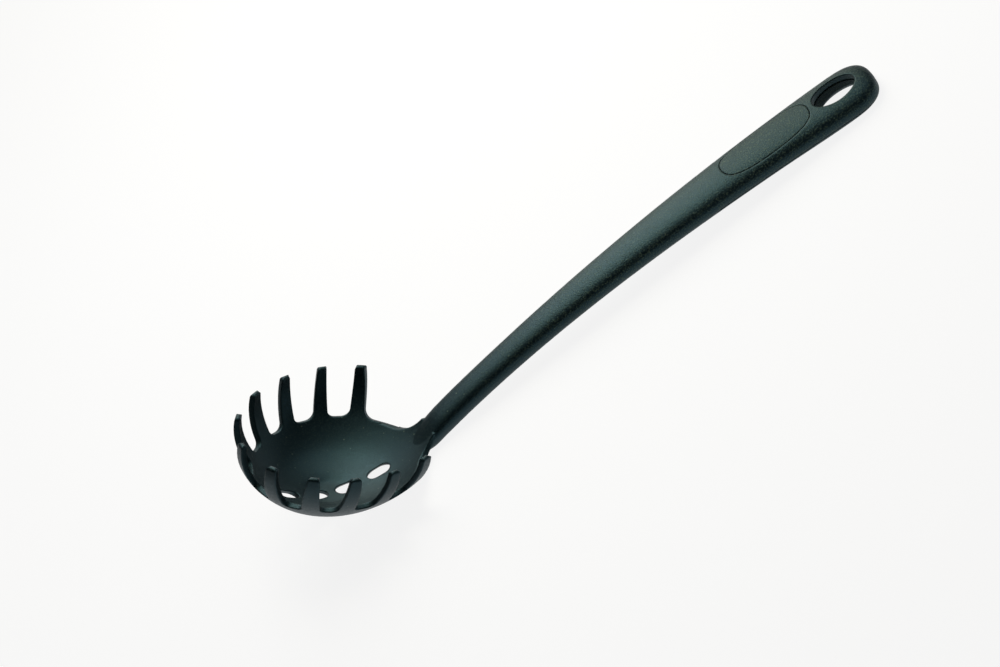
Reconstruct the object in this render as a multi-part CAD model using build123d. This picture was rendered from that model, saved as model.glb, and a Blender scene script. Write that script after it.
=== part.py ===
"""A nylon pasta server: a one-piece claw bowl with a long hollow handle, a back cover and an inlay.

The server is drawn with the middle of its tooth-tip plane at the origin, +X towards the handle and
+Z up the bowl's axis, in millimetres. The last step lays it down as it lies on a table.
"""
import os
from math import cos, degrees, pi, radians, sin

from build123d import *

os.makedirs("parts", exist_ok=True)

# Bowl
bowl_half_length = 44.5
bowl_half_width = 40.8
bowl_depth = 35.3
bowl_forward_lean = 7.2
bowl_roundness = 1.9
bowl_wall = 2.2
bowl_flat_radius = 3.0
rim_round = 1.0

# Teeth
tooth_pitches = (29.2, 25.1, 22.4, 21.6, 20.9)
tooth_tip_width = 3.5
tooth_root_width = 5.4
tooth_width_shares = (1.1, 1.2, 1.22, 1.04, 1, 1)
tooth_corner_round = 1.4
front_cheek_shares = (0.1, 0.1, -0.15, -0.15, 0)
back_cheek_shares = (0.1, 0.1, 0.3, 0.3, 0.25)
notch_depth = 19.9
notch_rear_rise = 1.0
notch_rise_shares = (0, 0, 0.3, 0.7, 1)
notch_root_round = 3.0
notch_floor_share = 0.42
back_tooth_lean = 5.5
tooth_lean_shares = (0, 0, 0, 0, 0.35, 1)

# Gap between the last tooth and the neck
neck_gap_depth = 18.9
neck_cheek_share = 0.1
neck_gap_round = 5.5
neck_gap_reach = 9.0
tongue_top_half = 6.0
tongue_foot_half = 7.6
tongue_fillet = 8.5
tongue_gap_reach = 19.0
tongue_top_drop = 11.5

# Drain slots
slot_count = 4
slot_pitch = 12.8
slot_length = 9.6
slot_width = 5.2
slot_flare = 1.9
slot_end_flare = 0.8
slot_row_forward = 5.6

# Handle line, from the bowl's back wall to the grip's end
handle_start_reach = 29.5
handle_start_drop = 20.8
handle_reach = 199.5
handle_rise = 131.2
neck_slope = 42.6
grip_slope = 27.5

# Handle section at four even stations from the neck to the end
handle_widths = (13.2, 15.6, 22.0, 26.4)
crown_heights = (3.8, 4.9, 5.9, 6.5)
belly_heights = (4.2, 3.7, 3.9, 4.9)
crown_fullness_share = 0.66
flat_share = 0.55
nose_length = 17.5
nose_plan_power = 2.8
nose_crown_power = 4.2
belly_nose_length = 25.0
belly_nose_power = 2.2
nose_angles = (0, 25, 45, 60, 72, 81, 87)

# Neck, where the handle thins into the bowl's wall
neck_thin_half = 1.1
neck_belly_merge = 9.0
neck_crown_merge = 19.0
neck_piece_length = 27.0

# Hollow grip and its cover
grip_wall = 2.4
seam_drop = 1.2
seam_gap = 0.15
cover_nose_share = 0.49
cover_flare_share = 0.66
cover_nose_half_width = 4.5
cover_middle_half_width = 6.5
cover_nose_round = 4.3
ledge = 1.4

# Hanging hole
hole_length = 20.2
hole_width = 13.2
hole_end_distance = 17.0
hole_wall = 1.9
hole_skirt_depth = 3.4
hole_step = 0.4
hole_flare_share = 0.43
hole_shift_share = 0.2

# Pegs that hold the cover
peg_shares = (0.57, 0.69)
peg_radius = 1.5
boss_wall = 1.2
peg_clearance = 0.1
peg_height = 2.2

# Inlay
inlay_length = 42.6
inlay_width = 17.0
inlay_thickness = 1.2
inlay_gap = 0.2
inlay_end_distance = 50.8
inlay_fullness_share = 0.76

overrun = 5.0


def save(solid, name):
    export_step(solid, "parts/" + name + ".step")


def bowl_share(depth_share):
    """The bowl's radius at a depth, both as shares of the largest."""
    return (1 - depth_share**bowl_roundness) ** (1 / bowl_roundness)


def bowl_profile(inset):
    """Half of the round bowl's upright section, drawn in by the inset, from its rim to its flat floor."""
    steps = 6
    power = 2 / bowl_roundness
    radius = bowl_half_width - inset
    depth = bowl_depth - inset
    points = [(radius, 0, 0)]
    for step in range(1, steps):
        angle = pi / 2 * step / steps
        points.append((radius * cos(angle) ** power, 0, -depth * sin(angle) ** power))
    points.append((bowl_flat_radius, 0, -depth))
    return Spline(points, tangents=[(0, 0, -1), (-1, 0, 0)])


def round_shell():
    """The round bowl before its teeth are cut, with a rounded rim."""
    outer = bowl_profile(0)
    inner = bowl_profile(bowl_wall)
    under = (0, 0, -bowl_depth)
    over = (0, 0, bowl_wall - bowl_depth)
    edges = [outer, Line(outer @ 1, under), Line(under, over), Line(over, inner @ 1), inner]
    edges.append(Line(inner @ 0, outer @ 0))
    shell = revolve(make_face(edges), Axis.Z)
    return fillet(shell.edges().group_by(Axis.Z)[-1], rim_round)


def stretch_and_lean(solid):
    """Stretch the round bowl along the handle and lean its floor away from the handle."""
    stretch = bowl_half_length / bowl_half_width
    lean = bowl_forward_lean / bowl_depth
    return solid.transform_geometry(Matrix([[stretch, 0, lean, 0], [0, 1, 0, 0], [0, 0, 1, 0]]))


def radial_plane(angle, reach):
    """A plane facing out from the bowl's axis, its first axis round the rim and its second up."""
    outwards = Vector(cos(radians(angle)), sin(radians(angle)), 0)
    return Plane(origin=outwards * reach, x_dir=(-outwards.Y, outwards.X, 0), z_dir=outwards)


def tooth_angles():
    """Tip and root angles of the teeth of one side, from the front tooth back to the neck."""
    tips = [180.0]
    for pitch in tooth_pitches:
        tips.append(tips[-1] - pitch)
    roots = [tip - back_tooth_lean * share for tip, share in zip(tips, tooth_lean_shares)]
    return tips, roots


def gap_reaches():
    """Distances from the bowl's axis to the middle of its wall, at the tips and at the roots."""
    tip_reach = bowl_half_width - bowl_wall / 2
    return tip_reach, tip_reach * bowl_share(notch_depth / bowl_depth)


def notch_face(left, right, floor, left_corner, right_corner):
    """A U-shaped outline: each side's place at the rim and at the root, and its rounded corner."""
    top = overrun
    edges = [CenterArc((right[0] + right_corner, -right_corner), right_corner, 90, 90)]
    edges.append(Line((right[0] + right_corner, 0), (right[0] + right_corner, top)))
    edges.append(Line((right[0] + right_corner, top), (left[0] - left_corner, top)))
    if left_corner:
        edges.append(Line((left[0] - left_corner, top), (left[0] - left_corner, 0)))
        edges.append(CenterArc((left[0] - left_corner, -left_corner), left_corner, 0, 90))
    else:
        edges.append(Line((left[0], top), (left[0], 0)))
    edges.append(Line((left[0], -left_corner), (left[1], -floor)))
    edges.append(Line((left[1], -floor), (right[1], -floor)))
    edges.append(Line((right[1], -floor), (right[0], -right_corner)))
    return make_face(edges)


def cheek(tooth, side, middle, tips, roots, reach, lean_share):
    """Where a tooth's cheek stands at the rim and at the root, seen along a gap's middle."""
    tip_reach, root_reach = gap_reaches()
    share = tooth_width_shares[tooth] / 2
    at_rim = tip_reach * sin(radians(tips[tooth] - middle)) - side * share * tooth_tip_width
    at_root = root_reach * sin(radians(roots[tooth] - middle)) - side * share * tooth_root_width
    lean = side * lean_share
    return (at_rim + lean * (reach - tip_reach), at_root + lean * (reach - root_reach))


def notch_cutter(front, back, tips, roots):
    """The gap between two neighbouring teeth, whose cheeks lean apart through the bowl's wall."""
    middle = (tips[front] + tips[back]) / 2
    tip_reach, root_reach = gap_reaches()
    depth = notch_depth - notch_rear_rise * notch_rise_shares[front]
    faces = []
    for reach in (root_reach - 2 * bowl_wall / 3, tip_reach + overrun):
        right = cheek(front, 1, middle, tips, roots, reach, front_cheek_shares[front])
        left = cheek(back, -1, middle, tips, roots, reach, back_cheek_shares[front])
        floor = depth + notch_floor_share * (reach - root_reach)
        face = notch_face(left, right, floor, tooth_corner_round, tooth_corner_round)
        face = fillet(face.vertices().group_by(Axis.Y)[0], notch_root_round)
        faces.append(radial_plane(middle, reach) * face)
    return loft(faces, ruled=True)


def neck_gap_cutter(tips, roots):
    """The wide gap on the neck's side of the last tooth."""
    middle = tips[-1] - tooth_pitches[-1]
    tip_reach, root_reach = gap_reaches()
    faces = []
    for reach in (root_reach - overrun, tip_reach + overrun):
        right = cheek(len(tooth_pitches), 1, middle, tips, roots, reach, neck_cheek_share)
        left = (-neck_gap_reach, -neck_gap_reach)
        floor = neck_gap_depth + notch_floor_share * (reach - root_reach)
        face = notch_face(left, right, floor, 0, tooth_corner_round)
        corner = face.vertices().group_by(Axis.Y)[0].sort_by(Axis.X)[-1]
        faces.append(radial_plane(middle, reach) * fillet(corner, neck_gap_round))
    return loft(faces, ruled=True)


def tongue_cutter():
    """What is cut beside the tongue of wall that carries the neck, with a wide fillet at its foot."""
    face = make_face(Polyline(
        (tongue_top_half, overrun), (tongue_top_half, -tongue_top_drop), (tongue_foot_half, -neck_gap_depth),
        (tongue_gap_reach, -neck_gap_depth), (tongue_gap_reach, overrun), close=True))
    corner = face.vertices().group_by(Axis.Y)[0].sort_by(Axis.X)[0]
    return extrude(radial_plane(0, 0) * fillet(corner, tongue_fillet), bowl_half_length + overrun)


def slot_cutter(number):
    """A drain slot's funnel square through the round bowl's floor, wider on the underside."""
    stretch = bowl_half_length / bowl_half_width
    place = slot_pitch * (number - (slot_count - 1) / 2) - slot_row_forward
    depth = bowl_depth - bowl_wall
    radius = bowl_half_width - bowl_wall
    across = (place + bowl_forward_lean) / stretch
    drop = bowl_share(abs(across) / radius)
    power = bowl_roundness - 1
    out = Vector((across / radius) * abs(across / radius) ** (power - 1) / radius, 0, -(drop**power) / depth)
    out = out.normalized()
    floor = Plane(origin=(across, 0, -drop * depth), x_dir=(-out.Z, 0, out.X), z_dir=out)
    inner = SlotOverall(slot_length / stretch, slot_width)
    outer = SlotOverall(slot_length / stretch + 3 * slot_end_flare, slot_width + 3 * slot_flare)
    funnel = loft([floor * inner, floor.offset(bowl_wall + bowl_wall / 2) * outer], ruled=True)
    return funnel + extrude(floor * inner, -overrun)


def make_bowl():
    """The claw bowl: teeth, neck tongue and drain slots cut in the round shell, which is then stretched."""
    tips, roots = tooth_angles()
    cutters = [notch_cutter(front, front + 1, tips, roots) for front in range(len(tooth_pitches))]
    cutters.append(neck_gap_cutter(tips, roots))
    cutters.append(tongue_cutter())
    cutters += [mirror(cutter, Plane.XZ) for cutter in cutters]
    cutters.append(Pos(bowl_half_length, 0, (overrun - tongue_top_drop) / 2) * Box(
        bowl_half_length, 4 * tongue_foot_half, overrun + tongue_top_drop))
    cutters += [slot_cutter(number) for number in range(slot_count)]
    return stretch_and_lean((round_shell() - cutters).solid()).fix()


def between(values, share):
    """The cubic through four evenly spaced values, at a share of their span."""
    count = len(values)
    total = 0
    for chosen in range(count):
        weight = 1
        for other in range(count):
            if other != chosen:
                weight *= (share * (count - 1) - other) / (chosen - other)
        total += weight * values[chosen]
    return total


def handle_line():
    start = (handle_start_reach, 0, -handle_start_drop)
    end = (handle_start_reach + handle_reach, 0, handle_rise - handle_start_drop)
    slopes = [(cos(radians(slope)), 0, sin(radians(slope))) for slope in (neck_slope, grip_slope)]
    return Spline(start, end, tangents=slopes)


def cross_plane(line, distance):
    """The cross plane at a distance along the line: first axis across, second towards the crown."""
    share = distance / line.length
    return Plane(origin=line @ share, x_dir=(0, 1, 0), z_dir=line % share)


def top_plane(line, distance):
    """The plane that faces out of the crown: first axis along the line, second across it."""
    share = distance / line.length
    along = line % share
    return Plane(origin=line @ share, x_dir=along, z_dir=(-along.Z, 0, along.X))


def oval_face(half_width, crown, belly):
    """A section with a crowned top, a rounded lower edge and a flat underside."""
    flat = half_width * flat_share
    lower = (half_width - flat, belly)
    pull = crown_fullness_share
    edges = [Line((-flat, -belly), (flat, -belly))]
    for side in (1, -1):
        edges.append(Bezier(
            (side * flat, -belly), (side * (flat + pull * lower[0]), -belly),
            (side * half_width, -pull * lower[1]), (side * half_width, 0)))
        edges.append(Bezier(
            (side * half_width, 0), (side * half_width, pull * crown),
            (side * pull * half_width, crown), (0, crown)))
    return make_face(edges)


def neck_height(distance, merge, height):
    """The height of one side of the neck, which grows out of the bowl's wall over the merge."""
    if distance > merge:
        return height
    grown = (1 - cos(pi * distance / merge)) / 2
    return neck_thin_half + (height - neck_thin_half) * grown


def belly_at(line, distance, inset):
    """How far the handle's underside lies below its line, which fades towards the rounded end."""
    belly = between(belly_heights, distance / line.length) - inset
    belly = neck_height(distance, neck_belly_merge, belly)
    start = line.length - belly_nose_length
    if distance > start:
        out = (distance - start) / (belly_nose_length - inset)
        belly *= (1 - out**belly_nose_power) ** (1 / belly_nose_power)
    return belly


def handle_section(line, distance, inset):
    """The handle's section at a distance along its line, drawn in by the inset."""
    length = line.length
    share = distance / length
    body_end = length - nose_length
    half_width = between(handle_widths, share) / 2 - inset
    crown = neck_height(distance, neck_crown_merge, between(crown_heights, share) - inset)
    belly = belly_at(line, distance, inset)
    if distance > body_end:
        out = (distance - body_end) / (nose_length - inset)
        half_width *= (1 - out**nose_plan_power) ** (1 / nose_plan_power)
        crown *= (1 - out**nose_crown_power) ** (1 / nose_crown_power)
    return cross_plane(line, distance) * oval_face(half_width, crown, belly)


def handle_form(line, first, inset):
    """The handle's form from a first distance to the rounded end, drawn in by the inset."""
    body_end = line.length - nose_length
    distances = []
    neck_steps = 6
    body_steps = 7
    if first < neck_crown_merge:
        distances += [neck_crown_merge * step / neck_steps for step in range(neck_steps)]
        first = neck_crown_merge
    distances += [first + (body_end - first) * step / body_steps for step in range(body_steps)]
    for angle in nose_angles:
        distances.append(body_end + (nose_length - inset) * sin(radians(angle)))
    return loft([handle_section(line, distance, inset) for distance in distances])


def below_seam(line, drop):
    """Everything lower than a curve that runs a little below the line."""
    steps = 6
    first = cover_nose_share - 2 * overrun / line.length
    points = []
    for step in range(steps + 1):
        share = first + (1 - first) * step / steps
        along = line % share
        points.append(line @ share - Vector(-along.Z, 0, along.X) * drop)
    points.append(points[-1] + (line % 1) * overrun)
    far = (line @ first).Z - 4 * bowl_half_width
    curve = Spline(points)
    face = make_face([
        curve, Line(points[-1], (points[-1].X, 0, far)), Line((points[-1].X, 0, far), (points[0].X, 0, far)),
        Line((points[0].X, 0, far), points[0])])
    return extrude(face, max(handle_widths), both=True)


def cover_plan(line, inset):
    """The cover's outline seen along the grip's crown, drawn in by the inset, as an upright prism."""
    plane = top_plane(line, line.length * (cover_nose_share + 1) / 2)
    centre = line.length * (cover_nose_share + 1) / 2
    nose = cover_nose_share * line.length - centre + inset
    flare = cover_flare_share * line.length - centre
    end = line.length - centre + 2 * overrun
    wide = max(handle_widths)
    side = between(handle_widths, cover_flare_share) / 2
    points = [(nose, cover_nose_half_width - inset), (flare - 3 * overrun, cover_middle_half_width - inset),
              (flare, side - inset), (end, wide), (end, -wide), (flare, inset - side),
              (flare - 3 * overrun, inset - cover_middle_half_width), (nose, inset - cover_nose_half_width)]
    face = make_face(Polyline(*points, close=True))
    tips = face.vertices().group_by(Axis.X)[0]
    face = fillet(tips, cover_nose_round - inset)
    return extrude(plane * face, 2 * max(handle_widths), both=True)


def inlay_prism(line, gap):
    """A squarish oval prism through the crown, larger than the inlay by the gap all round."""
    half_length = inlay_length / 2 + gap
    half_width = inlay_width / 2 + gap
    pull = inlay_fullness_share
    edges = []
    for along in (1, -1):
        for across in (1, -1):
            edges.append(Bezier(
                (along * half_length, 0), (along * half_length, across * pull * half_width),
                (along * pull * half_length, across * half_width), (0, across * half_width)))
    plane = top_plane(line, line.length - inlay_end_distance)
    return extrude(plane * make_face(edges), max(crown_heights) + overrun)


def pocket_floor(line):
    """The handle's form around the inlay, drawn in by the inlay's thickness."""
    middle = line.length - inlay_end_distance
    steps = 4
    reach = inlay_length / 2 + overrun
    distances = [middle + reach * (2 * step / steps - 1) for step in range(steps + 1)]
    return loft([handle_section(line, distance, inlay_thickness) for distance in distances])


def hole_prism(line, growth, bottom, top):
    """An upright oval prism round the hanging hole's axis, between two heights from the line."""
    plane = top_plane(line, line.length - hole_end_distance).offset(bottom)
    oval = plane * Ellipse(hole_length / 2 + growth, hole_width / 2 + growth)
    return extrude(oval, top - bottom)


def hole_funnel(line, growth, bottom, top):
    """An oval round the hanging hole that widens downwards, between two heights from the line."""
    ovals = []
    skirt = crown_heights[-1] - hole_skirt_depth
    for height in (top, bottom):
        plane = top_plane(line, line.length - hole_end_distance).offset(height)
        wider = growth + hole_flare_share * (skirt - height)
        oval = Ellipse(hole_length / 2 + wider, hole_width / 2 + wider)
        ovals.append(plane * Pos(hole_shift_share * (skirt - height), 0) * oval)
    return loft(ovals, ruled=True)


def peg_post(line, share, radius, bottom, top):
    """An upright cylinder under the crown, between two heights from the line."""
    plane = top_plane(line, line.length * share).offset(bottom)
    return extrude(plane * Circle(radius), top - bottom)


def lowest(points, angle):
    """How low the points come when the server is turned down by an angle about its side axis."""
    return min(point[1] * cos(angle) - point[0] * sin(angle) for point in points)


def rest_angle(line):
    """The turn at which the bowl's underside and the handle's end touch one level surface."""
    steps = 120
    power = 2 / bowl_roundness
    keel = []
    heel = []
    for step in range(steps + 1):
        angle = pi * step / steps
        depth = sin(angle) ** power
        reach = bowl_share(min(depth, 1)) * bowl_half_length * (1 if angle < pi / 2 else -1)
        keel.append((reach - bowl_forward_lean * depth, -bowl_depth * depth))
    for step in range(1, steps):
        distance = line.length * step / steps
        plane = cross_plane(line, distance)
        under = plane.origin - plane.y_dir * belly_at(line, distance, 0)
        if step < steps / 2:
            keel.append((under.X, under.Z))
        else:
            heel.append((under.X, under.Z))
    low = 0
    high = pi / 3
    for halving in range(40):
        angle = (low + high) / 2
        if lowest(keel, angle) < lowest(heel, angle):
            low = angle
        else:
            high = angle
    return degrees(angle)


def lie_down(parts, line):
    """Turn the server down onto bowl and handle end, with its footprint's middle at the origin."""
    turned = [Rot(0, rest_angle(line), 0) * part for part in parts]
    box = Compound(turned).bounding_box()
    middle = box.center()
    return [Pos(-middle.X, -middle.Y, -box.min.Z) * part for part in turned]


def grip_hollow(line):
    """The space inside the grip, which leaves posts for the pegs and a ring round the hanging hole."""
    skirt = crown_heights[-1] - hole_skirt_depth
    top = max(crown_heights) + overrun
    bottom = -max(belly_heights) - overrun
    inside = handle_form(line, line.length * cover_nose_share, grip_wall) & cover_plan(line, ledge)
    solid = [hole_funnel(line, hole_wall, bottom, skirt), hole_prism(line, hole_wall, skirt, top)]
    post = peg_radius + peg_clearance + boss_wall
    solid += [peg_post(line, share, post, bottom, top) for share in peg_shares]
    return inside - solid


def make_grip(line, grip, hollow):
    """The moulding's grip: a roof with side walls, sockets for the pegs and a pocket for the inlay."""
    skirt = crown_heights[-1] - hole_skirt_depth
    top = max(crown_heights) + overrun
    bottom = -max(belly_heights) - overrun
    cover_space = (below_seam(line, seam_drop) & cover_plan(line, 0)) + hole_funnel(
        line, hole_wall + seam_gap, bottom, skirt)
    socket = peg_radius + peg_clearance
    socket_top = peg_height - seam_drop + peg_clearance
    sockets = [peg_post(line, share, socket, bottom, socket_top) for share in peg_shares]
    pocket = inlay_prism(line, inlay_gap) - pocket_floor(line)
    shell = grip - hollow - cover_space - hole_prism(line, 0, skirt - overrun, top)
    return shell - sockets - pocket


def make_cover(line, grip, hollow):
    """The back cover with its collar round the hanging hole and its two pegs."""
    skirt = crown_heights[-1] - hole_skirt_depth
    bottom = -max(belly_heights) - overrun
    cover = grip & (below_seam(line, seam_drop + seam_gap) & cover_plan(line, seam_gap))
    cover = cover - hollow + (grip & hole_funnel(line, hole_wall, bottom, skirt - seam_gap))
    cover = cover - hole_funnel(line, -hole_step, bottom, skirt + overrun)
    foot = -seam_drop - seam_gap
    pegs = [peg_post(line, share, peg_radius, foot, peg_height - seam_drop) for share in peg_shares]
    return cover + pegs


def make_inlay(line, grip):
    """The oval plate that lies flush in the crown."""
    return (grip & inlay_prism(line, 0)) - pocket_floor(line)


line = handle_line()
halves = split(handle_form(line, 0, 0), cross_plane(line, neck_piece_length), keep=Keep.BOTH)
neck, grip = sorted(halves.solids(), key=lambda solid: solid.center().X)
hollow = grip_hollow(line)
body = make_bowl() + neck + make_grip(line, grip, hollow)
cover = make_cover(line, grip, hollow)
inlay = make_inlay(line, grip)
pieces = lie_down([body.solid(), cover.solid(), inlay.solid()], line)
for name, piece in zip(("server_body", "back_cover", "top_inlay"), pieces):
    save(piece, name)
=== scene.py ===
"""A black nylon pasta server lying on a pale floor.

Laid out as a Blender add-on and run as a script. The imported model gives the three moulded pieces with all
their shapes. This file adds no pieces: it gives each one its finish and sets up the floor, the lamps and
the camera. Everything is in metres.
"""

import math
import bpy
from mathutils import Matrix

bl_info = {
    "name": "Pasta server",
    "version": (1, 0, 0),
    "blender": (4, 5, 0),
    "location": "3D View > Sidebar > Pasta server",
    "description": "Gives a moulded nylon pasta server its finishes, floor, lamps and camera",
    "category": "Material",
}

import bpy
from bpy.props import FloatProperty, FloatVectorProperty, PointerProperty
from mathutils import Euler, Vector

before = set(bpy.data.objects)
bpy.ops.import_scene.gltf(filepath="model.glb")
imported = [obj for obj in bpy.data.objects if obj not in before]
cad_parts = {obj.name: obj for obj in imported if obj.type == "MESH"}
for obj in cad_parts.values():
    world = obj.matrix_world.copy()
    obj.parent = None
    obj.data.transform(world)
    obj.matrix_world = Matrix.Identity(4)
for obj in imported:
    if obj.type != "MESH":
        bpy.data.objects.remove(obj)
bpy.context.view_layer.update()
MILLIMETRE = 0.001

# Values of the grain's noise between which a fleck fades in
FLECK_SPAN = (0.48, 0.76)
# Values of the clouds' noise, and the share of the flecks that shows at each
CLOUD_SPAN = (0.3, 0.7)
CLOUD_SHARES = (0.75, 1.0)
# Values of the grain's noise between which the sheen softens, and how far its roughness goes each way
SHEEN_SPAN = (0.3, 0.7)
SHEEN_SPREAD = 0.07
# Distance from a speck's middle, as a share of their spacing, at which it starts and is full
SPECK_EDGE = (0.18, 0.09)
# Share of the specks' random values above which a speck is shown, from faint to full
SPECK_CHANCE = (0.6, 1.0)
# Distance from the collar's middle, as a share of its size, at which its matt inside starts and is full
COLLAR_EDGE = (1.05, 0.95)
# The slow unevenness of the skin that the clouds press into it
WAVE_STRENGTH = 0.25
WAVE_DEPTH = 0.3 * MILLIMETRE
NYLON_INDEX = 1.53
SENSOR_WIDTH_IN_MILLIMETRES = 36


class NylonFinish(bpy.types.PropertyGroup):
    """The colours and the grain of the moulded nylon."""

    body_colour: FloatVectorProperty(
        name="Body colour", description="Colour of the nylon between its flecks",
        subtype="COLOR", size=3, min=0, max=1, default=(0.0008, 0.003, 0.0057))
    fleck_colour: FloatVectorProperty(
        name="Fleck colour", description="Colour of the fine flecks where the glass filler meets the skin",
        subtype="COLOR", size=3, min=0, max=1, default=(0.0573, 0.08, 0.0533))
    speck_colour: FloatVectorProperty(
        name="Speck colour", description="Colour of the few larger pale specks",
        subtype="COLOR", size=3, min=0, max=1, default=(0.06, 0.0767, 0.0567))
    inlay_colour: FloatVectorProperty(
        name="Inlay colour", description="Colour of the oval inlay between its flecks",
        subtype="COLOR", size=3, min=0, max=1, default=(0.002, 0.004, 0.005))
    inlay_fleck_colour: FloatVectorProperty(
        name="Inlay's fleck colour", description="Colour of the stronger flecks of the oval inlay",
        subtype="COLOR", size=3, min=0, max=1, default=(0.09, 0.1167, 0.08))
    reflection_tint: FloatVectorProperty(
        name="Reflection tint", description="Cool tint of what the nylon reflects",
        subtype="COLOR", size=3, min=0, max=1, default=(0.41, 0.86, 1.0))
    reflection_level: FloatProperty(
        name="Reflection level", description="How strongly the nylon reflects", min=0, max=1, default=0.43)
    roughness: FloatProperty(
        name="Roughness", description="How soft the nylon's satin sheen is", min=0, max=1, default=0.5)
    inlay_roughness: FloatProperty(
        name="Inlay roughness", description="How soft the inlay's sheen is", min=0, max=1, default=0.54)
    cover_roughness: FloatProperty(
        name="Cover roughness", description="How soft the back cover's sheen is", min=0, max=1, default=0.54)
    collar_place: FloatVectorProperty(
        name="Collar's middle", description="Middle of the cover's collar, whose inside is left matt",
        subtype="TRANSLATION", unit="LENGTH", size=3, default=(131.2 * MILLIMETRE, 0, 0))
    collar_size: FloatVectorProperty(
        name="Collar's size", description="Half the length and width of the matt inside of the collar",
        subtype="TRANSLATION", unit="LENGTH", size=2, default=(13 * MILLIMETRE, 9 * MILLIMETRE))
    grain_size: FloatProperty(
        name="Grain size", description="Width of a fleck and of a dimple of the eroded grain",
        subtype="DISTANCE", unit="LENGTH", min=0.0001, default=0.62 * MILLIMETRE)
    grain_depth: FloatProperty(
        name="Grain depth", description="Depth of the fine eroded grain",
        subtype="DISTANCE", unit="LENGTH", min=0, default=0.16 * MILLIMETRE)
    speck_spacing: FloatProperty(
        name="Speck spacing", description="Distance between neighbouring pale specks",
        subtype="DISTANCE", unit="LENGTH", min=0.0001, default=2.4 * MILLIMETRE)
    cloud_size: FloatProperty(
        name="Cloud size", description="Width of the soft uneven patches of the skin",
        subtype="DISTANCE", unit="LENGTH", min=0.001, default=14 * MILLIMETRE)
    bowl_grain: FloatProperty(
        name="Bowl's grain", description="How much of the handle's grain the smoother bowl keeps",
        subtype="FACTOR", min=0, max=1, default=0.2)
    bowl_end: FloatProperty(
        name="Bowl's end", description="Place along the server where the bowl's smooth skin ends",
        subtype="DISTANCE", unit="LENGTH", default=-75 * MILLIMETRE)
    grip_start: FloatProperty(
        name="Grip's start", description="Place along the server where the full grain starts",
        subtype="DISTANCE", unit="LENGTH", default=-5 * MILLIMETRE)
    edge_round: FloatProperty(
        name="Edge rounding", description="Radius of the moulded edges' soft highlight",
        subtype="DISTANCE", unit="LENGTH", min=0, default=1.0 * MILLIMETRE)


class StageSettings(bpy.types.PropertyGroup):
    """The floor, the lamps and the camera."""

    floor_colour: FloatVectorProperty(
        name="Floor colour", description="Colour of the plain floor",
        subtype="COLOR", size=3, min=0, max=1, default=(0.88, 0.89, 0.90))
    floor_size: FloatProperty(
        name="Floor size", description="Side of the square floor",
        subtype="DISTANCE", unit="LENGTH", min=1, default=9)
    floor_glow: FloatProperty(
        name="Floor glow", description="How far the camera sees the floor as plain white paper",
        subtype="FACTOR", min=0, max=1, default=0.87)
    mirror_glow: FloatProperty(
        name="Mirrored glow", description="How far reflections see the floor as plain white paper",
        subtype="FACTOR", min=0, max=1, default=0.95)
    back_power: FloatProperty(
        name="Back lamp", description="Power of the large soft lamp close behind the handle",
        unit="POWER", min=0, default=1.74)
    neck_power: FloatProperty(
        name="Neck lamp", description="Power of the soft lamp close behind the neck",
        unit="POWER", min=0, default=0.36)
    top_power: FloatProperty(
        name="Top lamp", description="Power of the large soft lamp high above the server",
        unit="POWER", min=0, default=0.93)
    bowl_power: FloatProperty(
        name="Bowl lamp", description="Power of the small soft lamp above the neck, for the bowl's bottom",
        unit="POWER", min=0, default=0.375)
    side_power: FloatProperty(
        name="Side lamp", description="Power of the soft lamp beyond the handle's end, for the bowl's wall",
        unit="POWER", min=0, default=0.3)
    warm_colour: FloatVectorProperty(
        name="Warm light", description="Colour of the back, top and bowl lamps",
        subtype="COLOR", size=3, min=0, max=1, default=(0.97, 0.92, 0.76))
    cool_colour: FloatVectorProperty(
        name="Cool light", description="Colour of the neck and side lamps",
        subtype="COLOR", size=3, min=0, max=1, default=(0.88, 0.92, 1.0))
    sky_strength: FloatProperty(
        name="Room light", description="Strength of the even light of the room", min=0, default=0.03)
    camera_place: FloatVectorProperty(
        name="Camera place", description="Where the camera stands",
        subtype="TRANSLATION", unit="LENGTH", size=3, default=(0.03989, -1.89753, 1.62981))
    camera_turn: FloatVectorProperty(
        name="Camera turn", description="The camera's turns about X, Y and Z",
        subtype="EULER", unit="ROTATION", size=3,
        default=(math.radians(42.0001), math.radians(29.558), math.radians(-26.5018)))
    camera_lens: FloatProperty(
        name="Lens", description="Focal length in millimetres on a 36 mm wide sensor", min=10, default=223.29)


def link(tree, start, end):
    """Join an output socket to an input socket."""
    tree.links.new(start, end)


def node(tree, kind, **values):
    """A new node of a kind, with its settings and its input values given by name."""
    made = tree.nodes.new(kind)
    for name, value in values.items():
        if hasattr(made, name):
            setattr(made, name, value)
        else:
            made.inputs[name].default_value = value
    return made


def ramp(tree, value, low, high, first=0.0, last=1.0):
    """The value stretched from one span to another and held inside it."""
    made = node(tree, "ShaderNodeMapRange", clamp=True)
    for name, limit in zip(("From Min", "From Max", "To Min", "To Max"), (low, high, first, last)):
        made.inputs[name].default_value = limit
    link(tree, value, made.inputs["Value"])
    return made.outputs["Result"]


def times(tree, first, second):
    """Two values multiplied."""
    made = node(tree, "ShaderNodeMath", operation="MULTIPLY")
    link(tree, first, made.inputs[0])
    link(tree, second, made.inputs[1])
    return made.outputs["Value"]


def larger(tree, first, second):
    """The larger of two values."""
    made = node(tree, "ShaderNodeMath", operation="MAXIMUM")
    link(tree, first, made.inputs[0])
    link(tree, second, made.inputs[1])
    return made.outputs["Value"]


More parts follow.
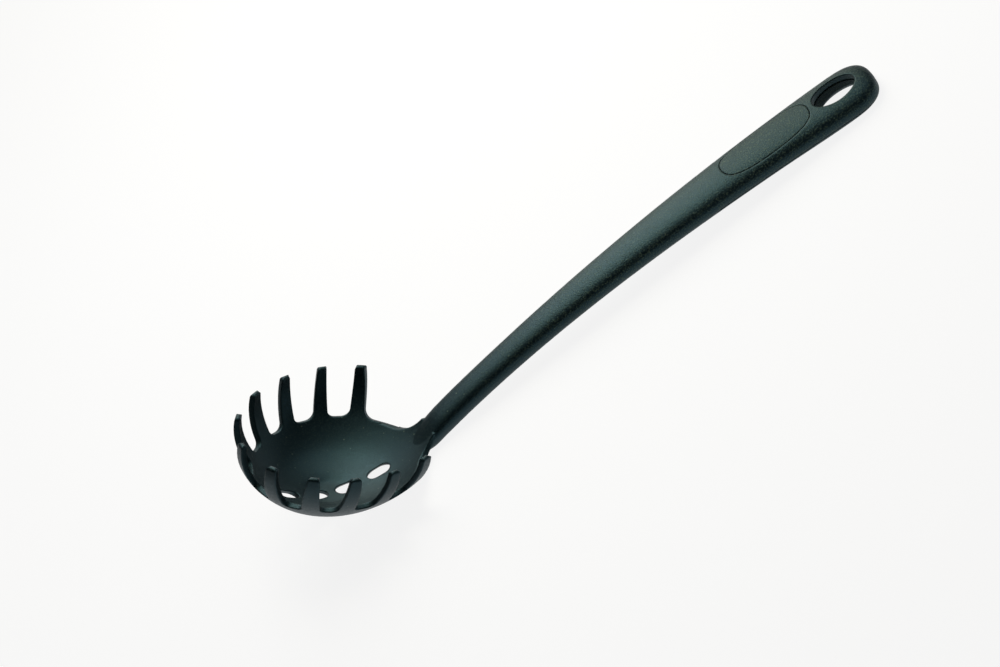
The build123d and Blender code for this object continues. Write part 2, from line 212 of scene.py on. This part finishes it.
def blended(tree, share, first, second):
    """Two colours mixed by a share; each is a colour or a socket."""
    mix = node(tree, "ShaderNodeMix", data_type="RGBA", blend_type="MIX")
    link(tree, share, mix.inputs["Factor"])
    for side, colour in (("A", first), ("B", second)):
        socket = next(one for one in mix.inputs if one.name == side and one.type == "RGBA")
        if isinstance(colour, bpy.types.NodeSocket):
            link(tree, colour, socket)
        else:
            socket.default_value = (*colour, 1)
    return next(one for one in mix.outputs if one.type == "RGBA")


def speck_mask(tree, coordinates, spacing):
    """A mask that is 1 on a few tiny specks and 0 elsewhere."""
    cells = node(tree, "ShaderNodeTexVoronoi", feature="F1", Scale=1 / spacing, Randomness=1.0)
    link(tree, coordinates, cells.inputs["Vector"])
    chance = node(tree, "ShaderNodeSeparateColor")
    link(tree, cells.outputs["Color"], chance.inputs["Color"])
    near = ramp(tree, cells.outputs["Distance"], *SPECK_EDGE)
    return times(tree, near, ramp(tree, chance.outputs["Red"], *SPECK_CHANCE))


def collar_mask(tree, coordinates, finish):
    """A mask that is 1 inside the cover's oval collar and 0 elsewhere."""
    length, width = finish.collar_size
    middle = finish.collar_place
    oval = node(tree, "ShaderNodeMapping", vector_type="POINT")
    oval.inputs["Scale"].default_value = (1 / length, 1 / width, 0)
    oval.inputs["Location"].default_value = (-middle[0] / length, -middle[1] / width, 0)
    link(tree, coordinates, oval.inputs["Vector"])
    distance = node(tree, "ShaderNodeVectorMath", operation="LENGTH")
    link(tree, oval.outputs["Vector"], distance.inputs[0])
    return ramp(tree, distance.outputs["Value"], *COLLAR_EDGE)


def nylon(name, colour, flecks, roughness, finish, with_collar=False):
    """Satin glass-filled nylon: fine flecks, soft clouds, a few pale specks and a shallow eroded grain."""
    material = bpy.data.materials.new(name)
    material.use_nodes = True
    tree = material.node_tree
    tree.nodes.clear()
    place = node(tree, "ShaderNodeTexCoord").outputs["Object"]

    clouds = node(tree, "ShaderNodeTexNoise", Scale=1 / finish.cloud_size, Detail=3.0, Roughness=0.55)
    link(tree, place, clouds.inputs["Vector"])
    grain = node(tree, "ShaderNodeTexNoise", Scale=1 / finish.grain_size, Detail=1.5, Roughness=0.5)
    link(tree, place, grain.inputs["Vector"])

    along = node(tree, "ShaderNodeSeparateXYZ")
    link(tree, place, along.inputs["Vector"])
    coarse = ramp(tree, along.outputs["X"], finish.bowl_end, finish.grip_start, finish.bowl_grain, 1.0)

    fleck = times(tree, ramp(tree, grain.outputs["Fac"], *FLECK_SPAN), coarse)
    share = times(tree, fleck, ramp(tree, clouds.outputs["Fac"], *CLOUD_SPAN, *CLOUD_SHARES))
    skin = blended(tree, share, colour, flecks)
    skin = blended(tree, speck_mask(tree, place, finish.speck_spacing), skin, finish.speck_colour)
    sharpest = roughness - SHEEN_SPREAD
    softest = roughness + SHEEN_SPREAD
    sheen = ramp(tree, grain.outputs["Fac"], *SHEEN_SPAN, sharpest, softest)
    if with_collar:
        sheen = larger(tree, sheen, collar_mask(tree, place, finish))

    edges = node(tree, "ShaderNodeBevel", samples=8, Radius=finish.edge_round)
    waves = node(tree, "ShaderNodeBump", Strength=WAVE_STRENGTH, Distance=WAVE_DEPTH)
    link(tree, clouds.outputs["Fac"], waves.inputs["Height"])
    link(tree, edges.outputs["Normal"], waves.inputs["Normal"])
    dimples = node(tree, "ShaderNodeBump", Distance=finish.grain_depth)
    link(tree, coarse, dimples.inputs["Strength"])
    link(tree, grain.outputs["Fac"], dimples.inputs["Height"])
    link(tree, waves.outputs["Normal"], dimples.inputs["Normal"])

    shader = node(tree, "ShaderNodeBsdfPrincipled")
    shader.inputs["IOR"].default_value = NYLON_INDEX
    shader.inputs["Specular IOR Level"].default_value = finish.reflection_level
    shader.inputs["Specular Tint"].default_value = (*finish.reflection_tint, 1)
    link(tree, skin, shader.inputs["Base Color"])
    link(tree, sheen, shader.inputs["Roughness"])
    link(tree, dimples.outputs["Normal"], shader.inputs["Normal"])
    output = node(tree, "ShaderNodeOutputMaterial")
    link(tree, shader.outputs["BSDF"], output.inputs["Surface"])
    return material


def dress(name, material):
    """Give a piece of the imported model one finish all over."""
    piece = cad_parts[name]
    piece.data.materials.clear()
    piece.data.materials.append(material)


class SERVER_OT_moulding(bpy.types.Operator):
    """Finish the one-piece moulding: claw bowl, neck and hollow handle"""

    bl_idname = "server.moulding"
    bl_label = "Finish the moulding"

    def execute(self, context):
        finish = context.scene.nylon_finish
        flecks = finish.fleck_colour
        roughness = finish.roughness
        dress("server_body", nylon("satin_black_nylon", finish.body_colour, flecks, roughness, finish))
        return {"FINISHED"}


class SERVER_OT_back_cover(bpy.types.Operator):
    """Finish the cover that closes the back of the hollow handle"""

    bl_idname = "server.back_cover"
    bl_label = "Finish the back cover"

    def execute(self, context):
        finish = context.scene.nylon_finish
        flecks = finish.fleck_colour
        roughness = finish.cover_roughness
        dress("back_cover", nylon("cover_black_nylon", finish.body_colour, flecks, roughness, finish, True))
        return {"FINISHED"}


class SERVER_OT_inlay(bpy.types.Operator):
    """Finish the oval inlay in the crown of the handle"""

    bl_idname = "server.inlay"
    bl_label = "Finish the inlay"

    def execute(self, context):
        finish = context.scene.nylon_finish
        flecks = finish.inlay_fleck_colour
        roughness = finish.inlay_roughness
        dress("top_inlay", nylon("inlay_black_nylon", finish.inlay_colour, flecks, roughness, finish))
        return {"FINISHED"}


def paper(settings):
    """White paper that keeps the object's soft shadow; light on the object comes from its plain colour."""
    material = bpy.data.materials.new("white_paper")
    material.use_nodes = True
    tree = material.node_tree
    tree.nodes.clear()
    matt = node(tree, "ShaderNodeBsdfDiffuse")
    matt.inputs["Color"].default_value = (*settings.floor_colour, 1)
    glow = node(tree, "ShaderNodeEmission", Strength=1.0)
    path = node(tree, "ShaderNodeLightPath")
    mirrored = larger(tree, path.outputs["Is Glossy Ray"], path.outputs["Is Transmission Ray"])
    seen = ramp(tree, path.outputs["Is Camera Ray"], 0, 1, 0, settings.floor_glow)
    mix = node(tree, "ShaderNodeMixShader")
    link(tree, larger(tree, seen, ramp(tree, mirrored, 0, 1, 0, settings.mirror_glow)), mix.inputs["Fac"])
    link(tree, matt.outputs["BSDF"], mix.inputs[1])
    link(tree, glow.outputs["Emission"], mix.inputs[2])
    output = node(tree, "ShaderNodeOutputMaterial")
    link(tree, mix.outputs["Shader"], output.inputs["Surface"])
    return material


def soft_lamp(name, place, target, width, height, power, colour):
    """Hang a soft rectangular lamp at a place, turned to face a target."""
    data = bpy.data.lights.new(name, "AREA")
    data.color = colour
    data.shape = "RECTANGLE"
    data.size = width
    data.size_y = height
    data.energy = power
    lamp = bpy.data.objects.new(name, data)
    bpy.context.scene.collection.objects.link(lamp)
    lamp.location = place
    lamp.rotation_euler = (Vector(target) - Vector(place)).to_track_quat("-Z", "Y").to_euler()


class SERVER_OT_stage(bpy.types.Operator):
    """Lay the floor, hang the lamps and place the camera"""

    bl_idname = "server.stage"
    bl_label = "Set the stage"

    def execute(self, context):
        settings = context.scene.server_stage
        bpy.ops.object.select_all(action="DESELECT")
        bpy.ops.mesh.primitive_plane_add(size=settings.floor_size, location=(0, 0, 0))
        floor = context.active_object
        floor.name = "floor"
        floor.data.materials.append(paper(settings))

        world = bpy.data.worlds.new("room")
        context.scene.world = world
        world.use_nodes = True
        tree = world.node_tree
        tree.nodes.clear()
        background = node(tree, "ShaderNodeBackground")
        background.inputs["Color"].default_value = (1, 1, 1, 1)
        strength = node(tree, "ShaderNodeMapRange", clamp=True)
        strength.inputs["To Min"].default_value = settings.sky_strength
        strength.inputs["To Max"].default_value = 1
        path = node(tree, "ShaderNodeLightPath")
        link(tree, path.outputs["Is Camera Ray"], strength.inputs["Value"])
        link(tree, strength.outputs["Result"], background.inputs["Strength"])
        output = node(tree, "ShaderNodeOutputWorld")
        link(tree, background.outputs["Background"], output.inputs["Surface"])

        warm = settings.warm_colour
        cool = settings.cool_colour
        grip = (0.09, 0, 0.02)
        neck = (-0.02, 0, 0.02)
        bowl = (-0.1, 0, 0.02)
        soft_lamp("back_lamp", place=(0.1, 0.34, 0.34), target=grip, width=0.3, height=0.6,
                  power=settings.back_power, colour=warm)
        soft_lamp("neck_lamp", place=(-0.02, 0.25, 0.25), target=neck, width=0.2, height=0.2,
                  power=settings.neck_power, colour=cool)
        soft_lamp("top_lamp", place=(0, 0.3, 0.75), target=neck, width=0.5, height=0.4,
                  power=settings.top_power, colour=warm)
        soft_lamp("bowl_lamp", place=(0.06, 0.06, 0.4), target=bowl, width=0.15, height=0.15,
                  power=settings.bowl_power, colour=warm)
        soft_lamp("side_lamp", place=(0.4, 0.08, 0.42), target=bowl, width=0.25, height=0.25,
                  power=settings.side_power, colour=cool)

        camera_data = bpy.data.cameras.new("camera")
        camera_data.sensor_width = SENSOR_WIDTH_IN_MILLIMETRES
        camera_data.lens = settings.camera_lens
        camera_data.clip_start = 0.05
        camera_data.clip_end = 50
        camera = bpy.data.objects.new("camera", camera_data)
        context.scene.collection.objects.link(camera)
        camera.location = settings.camera_place
        camera.rotation_euler = Euler(settings.camera_turn, "XYZ")
        context.scene.camera = camera
        context.scene.view_settings.view_transform = "Standard"
        return {"FINISHED"}


class SERVER_PT_panel(bpy.types.Panel):
    """The pasta server's settings and steps"""

    bl_idname = "SERVER_PT_panel"
    bl_label = "Pasta server"
    bl_space_type = "VIEW_3D"
    bl_region_type = "UI"
    bl_category = "Pasta server"

    def draw(self, context):
        layout = self.layout
        for group in (context.scene.nylon_finish, context.scene.server_stage):
            box = layout.box()
            for name in group.__annotations__:
                box.prop(group, name)
        for step in steps:
            layout.operator(step.bl_idname)


steps = (SERVER_OT_moulding, SERVER_OT_back_cover, SERVER_OT_inlay, SERVER_OT_stage)
classes = (NylonFinish, StageSettings, *steps, SERVER_PT_panel)


def register():
    """Add the add-on's classes and its two groups of settings."""
    for one in classes:
        bpy.utils.register_class(one)
    bpy.types.Scene.nylon_finish = PointerProperty(type=NylonFinish)
    bpy.types.Scene.server_stage = PointerProperty(type=StageSettings)


def unregister():
    """Take away what register added."""
    del bpy.types.Scene.server_stage
    del bpy.types.Scene.nylon_finish
    for one in reversed(classes):
        bpy.utils.unregister_class(one)


def main():
    """Run the steps in order."""
    register()
    bpy.ops.server.moulding()
    bpy.ops.server.back_cover()
    bpy.ops.server.inlay()
    bpy.ops.server.stage()


if __name__ == "__main__":
    main()
